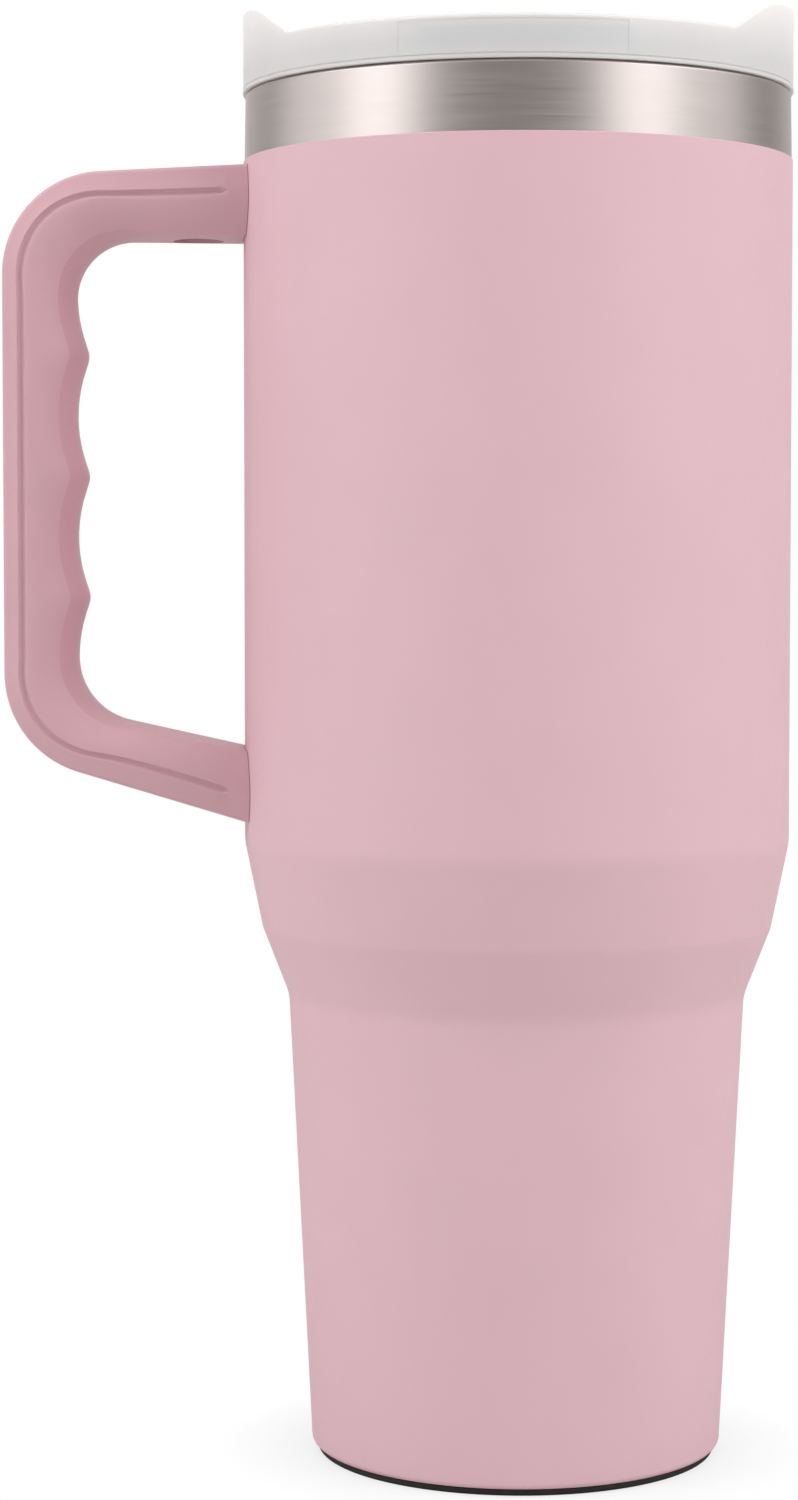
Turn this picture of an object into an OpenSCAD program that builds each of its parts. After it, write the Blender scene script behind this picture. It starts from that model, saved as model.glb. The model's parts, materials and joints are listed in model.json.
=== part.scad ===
// Insulated travel tumbler: double-walled steel cup, screwed-on handle, press-in lid with a rotating cover.
// Millimetres. Origin at the centre of the foot pad's underside, +Z up the cup's axis, handle towards -X.

/* [Cup outline] */
// Outer radius of the straight upper part, over the coating
cup_r = 50; // [48:0.5:54]
// Radius at the edge between the two shoulder cones
shoulder_r = 46.76; // [45.5:0.1:47.5]
// Radius where the lower shoulder cone meets the lower body
waist_r = 41.92; // [41:0.1:43]
// Radius of the lower body at its bottom
base_r = 37.7; // [36:0.1:39]
// Height at which the straight upper part begins
straight_z = 112.95; // [110:0.5:120]
// Height of the edge between the two shoulder cones
shoulder_z = 97.1; // [95:0.1:100]
// Height where the lower shoulder cone meets the lower body
waist_z = 84.7; // [80:0.1:90]
// Height of the coating's upper edge, where the bare steel band begins
coat_top_z = 236.6; // [230:0.1:240]
// Height of the steel rim
rim_z = 248.7; // [245:0.1:250]

/* [Walls] */
// Thickness of the powder coating
coat_t = 0.2; // [0.1:0.05:0.4]
// Thickness of the outer steel wall
shell_t = 0.6; // [0.5:0.1:1]
// Thickness of the inner steel wall
liner_t = 0.5; // [0.4:0.1:0.8]
// Width of the vacuum gap between the two walls
vacuum_gap = 2.9; // [2:0.1:4]

/* [Base] */
// Height of the cup's lower edge above the surface it stands on
base_z = 1.27; // [0.8:0.01:2]
// Radius of the rubber foot pad
pad_r = 36.6; // [35:0.1:37]
// Height of the underside of the liner's base
liner_base_z = 7.5; // [7:0.1:12]

/* [Handle] */
// Distance from the cup's axis to the grip's outer face
grip_out = 93.1; // [85:0.1:100]
// Distance from the cup's axis to the bottoms of the finger hollows
grip_in = 80.45; // [75:0.1:84]
// Width of the handle
handle_w = 24; // [20:0.5:30]
// Distance from the cup's axis to the ends of the arms, before they are hollowed to fit round the cup
arm_end = 48.5; // [48:0.1:48.5]
// Height between neighbouring finger hollows
finger_pitch = 22; // [20:0.1:24]
// Depth of the finger hollows
finger_depth = 2.4; // [0:0.1:2.5]

/* [Lid] */
// Angle at which the lid sits on the cup
lid_turn = -4.4; // [-45:0.1:45]
// Height of the lid's rim
lid_rim_z = 256.3; // [255:0.1:258]
// Height of the two gripping ears
ear_z = 263.3; // [258:0.1:266]
// Distance from the lid's axis to the foot of an ear's ramp
ear_foot_x = 38.9; // [34:0.1:44]
// Radius of the straw hole
straw_hole_r = 4.75; // [4:0.05:6]
// Radius of the rotating cover
cover_r = 44; // [42:0.5:46]

/* [Hidden] */
$fn = 96;
arc_steps = 6;

coat_pink = [0.86, 0.71, 0.74];
handle_pink = [0.8, 0.63, 0.67];
steel = [0.76, 0.74, 0.72];
frost = [0.86, 0.85, 0.85];
silicone = [0.92, 0.92, 0.92];
black_rubber = [0.08, 0.07, 0.07];

// Cup outline: [radius, height, fillet radius], from the bottom up.
base_fillet = 1.3;
waist_fillet = 10;
shoulder_fillet = 6;
straight_fillet = 12;
cup_line = [[base_r, base_z, base_fillet], [waist_r, waist_z, waist_fillet],
            [shoulder_r, shoulder_z, shoulder_fillet], [cup_r, straight_z, straight_fillet]];

least_fillet = 0.05;

// Bare band and rim of the outer shell.
shell_r = cup_r - coat_t;
band_draft = 0.2;
rim_fillet = 0.65;
rim_seam_r = cup_r - 2.5;

// Base of the cup: the shell's turned-in lip, the welded disc above it and the pad below.
lip_r = 34.5;
coat_low_r = 35.6;
shell_base_z = 2.6;
shell_base_t = 0.7;
shell_base_r = 36.6;
dimple_r = 6;
dimple_h = 1.1;
port_r = 1.2;
seal_r = 4;
seal_t = 0.8;
getter_r = 5;
getter_t = 2.2;
getter_x = 18;
adhesive_t = 0.2;
pad_core_r = 34.3;
pad_edge = 0.4;
pad_gap = 0.05;

// Liner.
liner_d = coat_t + shell_t + vacuum_gap;
liner_out_r = cup_r - liner_d;
liner_in_r = liner_out_r - liner_t;
liner_end_z = 13;
liner_end_r = base_r - liner_d + (liner_end_z - base_z) * (waist_r - base_r) / (waist_z - base_z);
liner_base_fillet = 5;

// Handle outline: arms, corners and grip.
arm_top_z = 235.47;
arm_top_slope = 0.047;
arm_under_z = 222.5;
low_arm_out_z = 116.6;
low_arm_out_slope = 0.3;
low_arm_in_z = 129.88;
low_arm_in_slope = 0.227;
top_out_fillet = 18.5;
top_in_fillet = 10.5;
low_out_fillet = 18.7;
low_in_fillet = 12;
first_finger_z = 212.6;
finger_peak_soft = 0.15;
grip_steps = 36;
grip_top_z = 212.2;
grip_low_z = 146.8;
corner_steps = 8;

// Handle section: edge radius outside, flanks that curve in to a crease, and a crowned side for the fingers.
edge_r = 0.8;
flank_start = 5;
flank_lean = 2.4;
flank_power = 1.7;
flank_steps = 4;
grip_crown = 2.7;
arm_crown = 0.5;
crown_steps = 4;
arm_gap = 0.1;

// Brackets, and the sockets and screws that hold the handle to them.
tongue_w = 16;
tongue_t = 2.5;
tongue_end = 64.5;
plate_w = 16;
plate_h = 9;
plate_out = 52.2;
socket_gap = 0.2;
screw_x = 58.3;
screw_r = 2;
screw_gap = 0.05;
screw_head_r = 3.9;
screw_head_t = 2;
recess_r = 4.6;
screw_len = 8;
upper_tongue_z = 229.4;
upper_plate_z = 229.2;
lower_tongue_z = 126.2;
lower_plate_z = 123.9;
screw_seat = 3.2;
hex_r = 1.45;
hex_depth = 1.2;

// Lid body.
lid_low_z = rim_z + 0.1;
lid_lip_r = cup_r + 0.1;
lid_lip_z = lid_low_z + 0.6;
lid_r = cup_r;
rim_in_r = 47.4;
deck_low_z = 250.3;
deck_top_z = 252.2;
plug_r = 44.8;
plug_in_r = 42.8;
plug_low_z = 238;
seal_groove_r = 44;
seal_low_z = 241;
seal_h = 5;
seal_lip_r = liner_in_r - 0.25;
rim_edge_r = 0.5;
ear_knee_x = 45.75;
ear_knee_drop = 0.85;
ear_fillet = 8;
ear_r = lid_r - 0.1;
panel_half = 23;
panel_turn = 1.5;
panel_depth = 0.12;
panel_margin = 0.9;
drink_y = 33;
drink_w = 18;
drink_h = 7;
straw_y = 30;
vent_r = 1;
vent_x = 24;

// Rotating cover and its pivot.
gasket_z = deck_top_z + 0.3;
gasket_t = 0.6;
gasket_r = 40.5;
cover_z = gasket_z + gasket_t;
cover_t = 2.2;
cover_edge_r = 0.6;
window_in_r = 23.5;
window_out_r = 38.5;
window_half = 19;
hub_r = 4;
hub_gap = 0.05;
hub_low_z = deck_low_z - 0.2;
washer_r = 7.5;
washer_t = 1;
pivot_r = 1.6;
pivot_gap = 0.05;
pivot_head_r = 3.2;
pivot_head_t = 1.8;
pivot_top_z = 257.5;
lug_path_r = 11;
lug_r = 1.4;
lug_depth = 0.9;
lug_gap = 0.3;
cover_throw = 90;
fin_in = 14;
fin_out = 36;
fin_top_z = 262;
fin_t = 6;
fin_slope = 7;
fin_fillet = 3;

// Outlines ------------------------------------------------------------------

function unit(v) = v / norm(v);
function at(p) = [p[0], p[1]];
function side(a, b) = let (d = unit(b - a)) [-d[1], d[0]];

// Points of a fillet of radius r at corner b, on the way from a to c.
function fillet(a, b, c, r, n) =
    let (u = unit(a - b), v = unit(c - b))
    let (half = acos(u * v) / 2, centre = b + unit(u + v) * r / sin(half))
    let (s = b + u * r / tan(half) - centre, e = b + v * r / tan(half) - centre)
    let (from = atan2(s[1], s[0]), turn = atan2(s[0] * e[1] - s[1] * e[0], s * e))
    [for (k = [0:n]) centre + r * [cos(from + turn * k / n), sin(from + turn * k / n)]];

// A path of [x, y, fillet radius] corners with its fillets drawn as arcs; the ends stay sharp.
function rounded(path, n) =
    let (last = len(path) - 1)
    [for (k = [0:last], p = (k == 0 || k == last || path[k][2] == 0) ? [at(path[k])]
        : fillet(at(path[k - 1]), at(path[k]), at(path[k + 1]), path[k][2], n)) p];

// The cup outline moved inwards by d, up to height high.
function inset(d, high) =
    let (full = concat([[0, base_z, 0]], cup_line, [[cup_r, high, 0]]))
    [for (k = [1:len(full) - 2])
        let (a = side(at(full[k - 1]), at(full[k])), b = side(at(full[k]), at(full[k + 1])))
        let (convex = a * (at(full[k + 1]) - at(full[k])) > 0 ? 1 : -1)
        let (p = at(full[k]) + d * (a + b) / (1 + a * b))
        [p[0], p[1], max(full[k][2] - convex * d, least_fillet)]];

// Cup -----------------------------------------------------------------------

module outer_shell() {
    outside = concat([[lip_r, base_z + coat_t, 0]], inset(coat_t, coat_top_z),
        [[shell_r, coat_top_z, 0], [shell_r - band_draft, rim_z, rim_fillet], [rim_seam_r, rim_z, 0]]);
    inside = concat([[lip_r, base_z + coat_t + shell_t, 0]], inset(coat_t + shell_t, coat_top_z),
        [[shell_r - shell_t, coat_top_z, 0],
        [shell_r - band_draft - shell_t, rim_z - shell_t, rim_fillet - shell_t],
        [rim_seam_r, rim_z - shell_t, 0]]);
    back = rounded(inside, arc_steps);
    color(steel)
        rotate_extrude()
            polygon(concat(rounded(outside, arc_steps), [for (k = [len(back) - 1:-1:0]) back[k]]));
}

// Disc welded inside the shell's bottom, with a dimple up around the pumping port.
module shell_base() {
    top = shell_base_z + shell_base_t;
    lip_top = base_z + coat_t + shell_t;
    color(steel)
        rotate_extrude()
            polygon([[port_r, shell_base_z + dimple_h], [dimple_r - shell_base_t, shell_base_z + dimple_h],
                [dimple_r, shell_base_z], [lip_r, shell_base_z], [lip_r, lip_top],
                [lip_r + shell_base_t, lip_top], [lip_r + shell_base_t, shell_base_z],
                [shell_base_r, shell_base_z], [shell_base_r, top],
                [dimple_r + shell_base_t, top], [dimple_r, top + dimple_h], [port_r, top + dimple_h]]);
}

// Solder glass that closed the pumping port.
module vacuum_seal() {
    color("dimgray")
        translate([0, 0, shell_base_z + dimple_h - seal_t]) {
            cylinder(r = seal_r, h = seal_t);
            cylinder(r = port_r, h = seal_t + shell_base_t);
        }
}

// Gas-absorbing pill that keeps the vacuum.
module getter() {
    color("gray")
        translate([getter_x, 0, shell_base_z + shell_base_t])
            cylinder(r = getter_r, h = getter_t);
}

module liner() {
    outside = concat([[liner_end_r, liner_end_z, 0]], [for (k = [1:3]) inset(liner_d, coat_top_z)[k]],
        [[liner_out_r, rim_z - liner_t, rim_fillet - liner_t], [rim_seam_r, rim_z - liner_t, 0]]);
    inside = concat([[liner_end_r - liner_t, liner_end_z, 0]],
        [for (k = [1:3]) inset(liner_d + liner_t, coat_top_z)[k]],
        [[liner_in_r, rim_z, rim_fillet], [rim_seam_r, rim_z, 0]]);
    back = rounded(inside, arc_steps);
    color(steel)
        rotate_extrude()
            polygon(concat(rounded(outside, arc_steps), [for (k = [len(back) - 1:-1:0]) back[k]]));
}

module liner_base() {
    outside = [[0, liner_base_z, 0], [liner_end_r - liner_t, liner_base_z, liner_base_fillet],
        [liner_end_r, liner_end_z, 0]];
    inside = [[0, liner_base_z + liner_t, 0],
        [liner_end_r - 2 * liner_t, liner_base_z + liner_t, liner_base_fillet - liner_t],
        [liner_end_r - liner_t, liner_end_z, 0]];
    back = rounded(inside, arc_steps);
    color(steel)
        rotate_extrude()
            polygon(concat(rounded(outside, arc_steps), [for (k = [len(back) - 1:-1:0]) back[k]]));
}

// Coloured coating over the outer shell, masked off at the rim band and where the brackets are welded on.
module powder_coat() {
    outside = concat([[coat_low_r, base_z, 0]], inset(0, coat_top_z), [[cup_r, coat_top_z, 0]]);
    inside = concat([[coat_low_r, base_z + coat_t, 0]], inset(coat_t, coat_top_z),
        [[shell_r, coat_top_z, 0]]);
    back = rounded(inside, arc_steps);
    mask_w = plate_w + 2 * socket_gap;
    mask_h = plate_h + 2 * socket_gap;
    color(coat_pink)
        difference() {
            rotate_extrude()
                polygon(concat(rounded(outside, arc_steps), [for (k = [len(back) - 1:-1:0]) back[k]]));
            for (z = [upper_plate_z, lower_plate_z])
                translate([-cup_r - 1, -mask_w / 2, z - mask_h / 2])
                    cube([cup_r / 2, mask_w, mask_h]);
        }
}

module pad_adhesive() {
    color("white")
        translate([0, 0, shell_base_z - adhesive_t])
            cylinder(r = pad_core_r - 1, h = adhesive_t);
}

// Rubber disc that the tumbler stands on; its upper step sits in the recess of the base.
module foot_pad() {
    color(black_rubber)
        rotate_extrude()
            polygon([[0, 0], [pad_r - pad_edge, 0], [pad_r, pad_edge], [pad_r, base_z - pad_gap],
                [pad_core_r, base_z - pad_gap], [pad_core_r, shell_base_z - adhesive_t],
                [0, shell_base_z - adhesive_t]]);
}

// Steel bracket: a plate welded to the shell and a tongue that reaches into the handle's arm.
module bracket(tongue_z, plate_z) {
    color(steel)
        difference() {
            union() {
                translate([-plate_out, -plate_w / 2, plate_z - plate_h / 2])
                    cube([5, plate_w, plate_h]);
                translate([-tongue_end, -tongue_w / 2, tongue_z - tongue_t / 2])
                    cube([tongue_end - plate_out + 1, tongue_w, tongue_t]);
            }
            translate([0, 0, plate_z - plate_h])
                cylinder(r = shell_r, h = 2 * plate_h);
            translate([-screw_x, 0, tongue_z - tongue_t])
                cylinder(r = screw_r + screw_gap, h = 2 * tongue_t);
        }
}

module upper_bracket() bracket(upper_tongue_z, upper_plate_z);

module lower_bracket() bracket(lower_tongue_z, lower_plate_z);

// Handle --------------------------------------------------------------------

// Outer outline of the handle in the XZ plane, from the upper arm's end to the lower arm's end.
top_out = [[-arm_end, arm_top_z], [-grip_out, arm_top_z - arm_top_slope * (grip_out - arm_end)]];
low_out = [[-grip_out, low_arm_out_z + low_arm_out_slope * (grip_out - arm_end)], [-arm_end, low_arm_out_z]];
top_in = [[-arm_end, arm_under_z], [-grip_in, arm_under_z]];
low_in = [[-grip_in, low_arm_in_z + low_arm_in_slope * (grip_in - arm_end)], [-arm_end, low_arm_in_z]];

grip_z = [for (k = [0:grip_steps]) grip_top_z + (grip_low_z - grip_top_z) * k / grip_steps];

// How far the grip stands in from the hollows' bottoms at height z: shallow arcs that meet in soft peaks.
function finger(z) =
    let (off = abs((z - first_finger_z) / finger_pitch - round((z - first_finger_z) / finger_pitch)) * 2)
    let (arc = off * off)
    finger_depth * (arc - finger_peak_soft * pow(arc, 8));

outer_line = concat([top_out[0]], fillet(top_out[0], top_out[1], low_out[0], top_out_fillet, corner_steps),
    [for (z = grip_z) [-grip_out, z]],
    fillet(top_out[1], low_out[0], low_out[1], low_out_fillet, corner_steps), [low_out[1]]);
inner_line = concat([top_in[0]], fillet(top_in[0], top_in[1], low_in[0], top_in_fillet, corner_steps),
    [for (z = grip_z) [-grip_in + finger(z), z]],
    fillet(top_in[1], low_in[0], low_in[1], low_in_fillet, corner_steps), [low_in[1]]);

// Half of the handle's section, as [distance in from the outer face, half width], for a depth d.
// The last part of that depth, crown, is the arched side for the fingers.
function half_section(d, crown) =
    let (w = handle_w / 2, run = d - crown - flank_start, side_w = w - flank_lean)
    concat([[0, w - edge_r], [edge_r * 0.3, w - edge_r * 0.3], [edge_r, w], [flank_start, w]],
        [for (k = [1:flank_steps])
            [flank_start + run * k / flank_steps, w - flank_lean * pow(k / flank_steps, flank_power)]],
        [for (k = [1:crown_steps - 1])
            [d - crown * pow(1 - k / crown_steps, 2), side_w * (1 - k / crown_steps)]]);

// The handle's section at one station, between a point o of the outer outline and a point i of the inner one.
function station(o, i) =
    let (reach = (-o[0] - arm_end) / (grip_out - arm_end))
    let (crown = arm_crown + (grip_crown - arm_crown) * reach * reach)
    let (d = norm(i - o), u = (i - o) / d, half = half_section(d, crown), n = len(half))
    concat([for (k = [0:n - 1]) [o[0] + u[0] * half[k][0], -half[k][1], o[1] + u[1] * half[k][0]]],
        [for (k = [n - 1:-1:0]) [o[0] + u[0] * half[k][0], half[k][1], o[1] + u[1] * half[k][0]]]);

module handle_blank() {
    rings = [for (k = [0:len(outer_line) - 1]) station(outer_line[k], inner_line[k])];
    m = len(rings[0]);
    last = len(rings) - 1;
    points = [for (ring = rings, p = ring) p];
    walls = [for (k = [0:last - 1], j = [0:m - 1])
        let (a = k * m + j, b = k * m + (j + 1) % m)
        for (t = [[a, b, a + m], [b, b + m, a + m]]) t];
    ends = [[for (j = [m - 1:-1:0]) j], [for (j = [0:m - 1]) last * m + j]];
    polyhedron(points, concat(walls, ends));
}

// Space in an arm for a bracket's plate and tongue, and the screw's hole and recess from below.
module arm_socket(tongue_z, plate_z) {
    g = socket_gap;
    translate([-plate_out - g, -plate_w / 2 - g, plate_z - plate_h / 2 - g])
        cube([plate_out, plate_w + 2 * g, plate_h + 2 * g]);
    translate([-tongue_end - g, -tongue_w / 2 - g, tongue_z - tongue_t / 2 - g])
        cube([tongue_end, tongue_w + 2 * g, tongue_t + 2 * g]);
    translate([-screw_x, 0, tongue_z - handle_w / 2])
        cylinder(r = recess_r, h = handle_w / 2 - screw_seat);
    translate([-screw_x, 0, tongue_z - handle_w / 2])
        cylinder(r = screw_r + g, h = handle_w / 2 + screw_len / 2);
}

module handle() {
    color(handle_pink)
        difference() {
            handle_blank();
            translate([0, 0, low_arm_out_z - 5])
                cylinder(r = cup_r + arm_gap, h = arm_top_z - low_arm_out_z + 10);
            arm_socket(upper_tongue_z, upper_plate_z);
            arm_socket(lower_tongue_z, lower_plate_z);
        }
}

// Two identical socket-head screws, one up into each bracket.
module handle_screws() {
    color(steel)
        for (z = [upper_tongue_z, lower_tongue_z])
            translate([-screw_x, 0, z - screw_seat])
                difference() {
                    union() {
                        cylinder(r = screw_r, h = screw_seat + tongue_t);
                        translate([0, 0, -screw_head_t])
                            cylinder(r = screw_head_r, h = screw_head_t);
                    }
                    translate([0, 0, -screw_head_t - hex_depth])
                        cylinder(r = hex_r, h = 2 * hex_depth, $fn = 6);
                }
}

// Lid -----------------------------------------------------------------------

// Part of the rim wall that rises to an ear; its top is a ramp when the ear is seen from the lid's front.
module ear() {
    foot_z = lid_rim_z - 1;
    intersection() {
        rotate_extrude()
            translate([rim_in_r, foot_z])
                square([ear_r - rim_in_r, ear_z - foot_z]);
        rotate([90, 0, 0])
            linear_extrude(height = 2 * lid_r, center = true)
                polygon(rounded([[ear_foot_x, foot_z, 0], [ear_foot_x, lid_rim_z, 0],
                    [ear_knee_x, ear_z - ear_knee_drop, ear_fillet], [lid_r, ear_z, 0], [lid_r, foot_z, 0]],
                    arc_steps));
    }
}

// Shallow panel in the rim's outer face.
module rim_panel() {
    rotate([0, 0, -90 - panel_half])
        rotate_extrude(angle = 2 * panel_half)
            translate([lid_r - panel_depth, lid_lip_z + panel_margin])
                square([2, lid_rim_z - lid_lip_z - 2 * panel_margin]);
}

module drink_slot() {
    reach = drink_w / 2 - drink_h / 2;
    translate([0, -drink_y, deck_low_z - 1]) {
        translate([-reach, -drink_h / 2, 0])
            cube([2 * reach, drink_h, 5]);
        for (s = [-1, 1])
            translate([s * reach, 0, 0])
                cylinder(r = drink_h / 2, h = 5);
    }
}

// Curved slot in the deck that the cover's lug runs in; its ends stop the cover.
module lug_slot() {
    over = lug_gap / lug_path_r * 180 / PI;
    w = 2 * (lug_r + lug_gap);
    translate([0, 0, deck_top_z - lug_depth - lug_gap]) {
        rotate([0, 0, 180 - cover_throw - over])
            rotate_extrude(angle = 2 * (cover_throw + over))
                translate([lug_path_r - w / 2, 0])
                    square([w, 5]);
        for (a = [-1, 1])
            rotate([0, 0, 180 + a * (cover_throw + over)])
                translate([lug_path_r, 0, 0])
                    cylinder(r = w / 2, h = 5);
    }
}

module lid_blank() {
    rotate_extrude()
        polygon([[0, deck_low_z], [plug_in_r, deck_low_z], [plug_in_r, plug_low_z],
            [plug_r - 0.6, plug_low_z], [plug_r, plug_low_z + 1.5], [plug_r, seal_low_z],
            [seal_groove_r, seal_low_z],
            [seal_groove_r, seal_low_z + seal_h], [plug_r, seal_low_z + seal_h], [plug_r, lid_low_z],
            [lid_lip_r, lid_low_z], [lid_lip_r, lid_lip_z], [lid_r, lid_lip_z],
            [lid_r, lid_rim_z - rim_edge_r], [lid_r - rim_edge_r, lid_rim_z],
            [rim_in_r + rim_edge_r, lid_rim_z], [rim_in_r, lid_rim_z - rim_edge_r],
            [rim_in_r, deck_top_z], [0, deck_top_z]]);
}

module lid_body() {
    color(frost)
        rotate([0, 0, lid_turn])
            difference() {
                union() {
                    lid_blank();
                    for (a = [0, 180])
                        rotate([0, 0, a])
                            ear();
                }
                for (a = [0, 180])
                    rotate([0, 0, a + panel_turn])
                        rim_panel();
                drink_slot();
                lug_slot();
                translate([0, straw_y, deck_low_z - 1])
                    cylinder(r = straw_hole_r, h = 5);
                translate([-vent_x, 0, deck_low_z - 1])
                    cylinder(r = vent_r, h = 5);
                translate([0, 0, deck_low_z - 1])
                    cylinder(r = hub_r + hub_gap, h = 5);
            }
}

// Silicone ring in the plug's groove, with two sealing lips.
module lid_seal() {
    z = seal_low_z;
    color(silicone)
        rotate_extrude()
            polygon([[seal_groove_r, z], [plug_r, z], [seal_lip_r, z + 1], [seal_lip_r, z + 1.6],
                [plug_r + 0.1, z + 2.1], [plug_r + 0.1, z + 2.9], [seal_lip_r, z + 3.4], [seal_lip_r, z + 4],
                [plug_r, z + seal_h], [seal_groove_r, z + seal_h]]);
}

// Rotating cover ------------------------------------------------------------

module window(grow) {
    half = window_half + grow;
    rotate([0, 0, -half])
        rotate_extrude(angle = 2 * half)
            translate([window_in_r - grow / 2, 0])
                square([window_out_r - window_in_r + grow, 10]);
}

// Grip tab that stands across the cover, opposite the window.
module fin() {
    path = rounded([[fin_in, cover_z + 1, 0], [fin_in, cover_z + cover_t, 0],
        [fin_in - fin_slope, fin_top_z, fin_fillet], [fin_slope - fin_out, fin_top_z, fin_fillet],
        [-fin_out, cover_z + cover_t, 0], [-fin_out, cover_z + 1, 0]], arc_steps);
    translate([0, fin_t / 2, 0])
        rotate([90, 0, 0])
            linear_extrude(height = fin_t)
                polygon(path);
}

module cover() {
    color(frost)
        rotate([0, 0, lid_turn])
            difference() {
                union() {
                    rotate_extrude()
                        polygon([[0, cover_z], [cover_r, cover_z],
                            [cover_r, cover_z + cover_t - cover_edge_r],
                            [cover_r - cover_edge_r, cover_z + cover_t], [0, cover_z + cover_t]]);
                    fin();
                    translate([0, 0, hub_low_z])
                        cylinder(r = hub_r, h = cover_z - hub_low_z + 1);
                    translate([-lug_path_r, 0, deck_top_z - lug_depth])
                        cylinder(r = lug_r, h = cover_z - deck_top_z + lug_depth + 1);
                }
                translate([0, 0, cover_z - 5])
                    window(0);
                translate([0, 0, hub_low_z - 1])
                    cylinder(r = pivot_r + pivot_gap, h = pivot_top_z + 0.5 - hub_low_z + 1);
            }
}

module cover_gasket() {
    color(silicone)
        rotate([0, 0, lid_turn])
            difference() {
                translate([0, 0, gasket_z])
                    cylinder(r = gasket_r, h = gasket_t);
                translate([0, 0, gasket_z - 1])
                    window(1);
                translate([0, 0, gasket_z - 1])
                    cylinder(r = hub_r + hub_gap, h = 5);
                translate([-lug_path_r, 0, gasket_z - 1])
                    cylinder(r = lug_r + hub_gap, h = 5);
            }
}

module pivot_washer() {
    color(steel)
        translate([0, 0, hub_low_z - washer_t])
            difference() {
                cylinder(r = washer_r, h = washer_t);
                translate([0, 0, -1])
                    cylinder(r = pivot_r + pivot_gap, h = washer_t + 2);
            }
}

module pivot_screw() {
    color(steel)
        translate([0, 0, hub_low_z - washer_t])
            difference() {
                union() {
                    cylinder(r = pivot_r, h = pivot_top_z - hub_low_z + washer_t);
                    translate([0, 0, -pivot_head_t])
                        cylinder(r = pivot_head_r, h = pivot_head_t);
                }
                translate([0, 0, -pivot_head_t - hex_depth])
                    cylinder(r = hex_r, h = 2 * hex_depth, $fn = 6);
            }
}

outer_shell();
shell_base();
vacuum_seal();
getter();
liner();
liner_base();
powder_coat();
pad_adhesive();
foot_pad();
upper_bracket();
lower_bracket();
handle();
handle_screws();
lid_body();
lid_seal();
cover();
cover_gasket();
pivot_washer();
pivot_screw();
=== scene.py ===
import json
import math

import bmesh
import bpy
from mathutils import Matrix, Vector


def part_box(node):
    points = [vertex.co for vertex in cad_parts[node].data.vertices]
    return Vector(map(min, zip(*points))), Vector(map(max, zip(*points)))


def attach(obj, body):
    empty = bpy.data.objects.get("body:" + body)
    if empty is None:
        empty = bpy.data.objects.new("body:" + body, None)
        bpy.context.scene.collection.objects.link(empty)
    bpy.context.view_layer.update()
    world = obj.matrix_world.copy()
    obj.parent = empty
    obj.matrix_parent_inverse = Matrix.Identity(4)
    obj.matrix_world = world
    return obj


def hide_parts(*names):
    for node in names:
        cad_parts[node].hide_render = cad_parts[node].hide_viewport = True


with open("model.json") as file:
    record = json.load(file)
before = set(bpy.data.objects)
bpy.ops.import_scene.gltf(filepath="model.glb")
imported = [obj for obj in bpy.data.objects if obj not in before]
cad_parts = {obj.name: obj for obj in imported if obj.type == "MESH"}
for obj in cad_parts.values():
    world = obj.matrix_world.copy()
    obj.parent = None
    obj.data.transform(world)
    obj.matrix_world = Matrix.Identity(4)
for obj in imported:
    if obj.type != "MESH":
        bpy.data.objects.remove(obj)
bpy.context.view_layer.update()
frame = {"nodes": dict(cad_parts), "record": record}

# Metres throughout, in the CAD frame: +Z up the cup's axis, handle towards -X, front towards -Y.
MM = 0.001

# Corners of the CAD nodes' boxes, which the shapes below are measured from.
COAT_LOW, COAT_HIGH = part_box("powder_coat")
SHELL_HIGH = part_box("outer_shell")[1]
PAD_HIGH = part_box("foot_pad")[1]
LID_LOW, LID_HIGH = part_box("lid_body")
GASKET_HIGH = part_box("cover_gasket")[1]
COVER_LOW, COVER_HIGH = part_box("cover")
HANDLE_LOW, HANDLE_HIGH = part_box("handle")

CUP_R = 50.0 * MM
BASE_Z = COAT_LOW.z
COAT_TOP_Z = COAT_HIGH.z
RIM_Z = SHELL_HIGH.z
# Corners of the cup's outline below the rim, from the bottom up: (radius, height, fillet radius).
CUP_LINE = [
    (37.7 * MM, BASE_Z, 1.3 * MM),
    (41.92 * MM, 84.7 * MM, 10 * MM),
    (46.76 * MM, 97.1 * MM, 6 * MM),
    (CUP_R, 112.95 * MM, 12 * MM),
]
COAT_T = 0.2 * MM
SHELL_T = 0.6 * MM
LINER_T = 0.5 * MM
VACUUM_GAP = 2.9 * MM
LINER_INSET = COAT_T + SHELL_T + VACUUM_GAP
BAND_DRAFT = 0.2 * MM
RIM_FILLET = 0.65 * MM
RIM_SEAM_R = CUP_R - 2.5 * MM
# Where the shell and the coating end under the cup, and the outside of the pad.
LIP_R = 34.5 * MM
COAT_LOW_R = 35.6 * MM
PAD_R = 36.6 * MM

LATHE_STEPS = 288
ARC_STEPS = 8
# Fillets get no smaller than this where the outline is moved inwards.
LEAST_FILLET = 0.05 * MM
# Edges that turn by more than this are shaded sharp.
SHARP_ANGLE = math.radians(32)
# How far a cutter reaches past what it cuts.
CUT_PAST = 2.0 * MM


# Outlines -------------------------------------------------------------------


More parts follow.
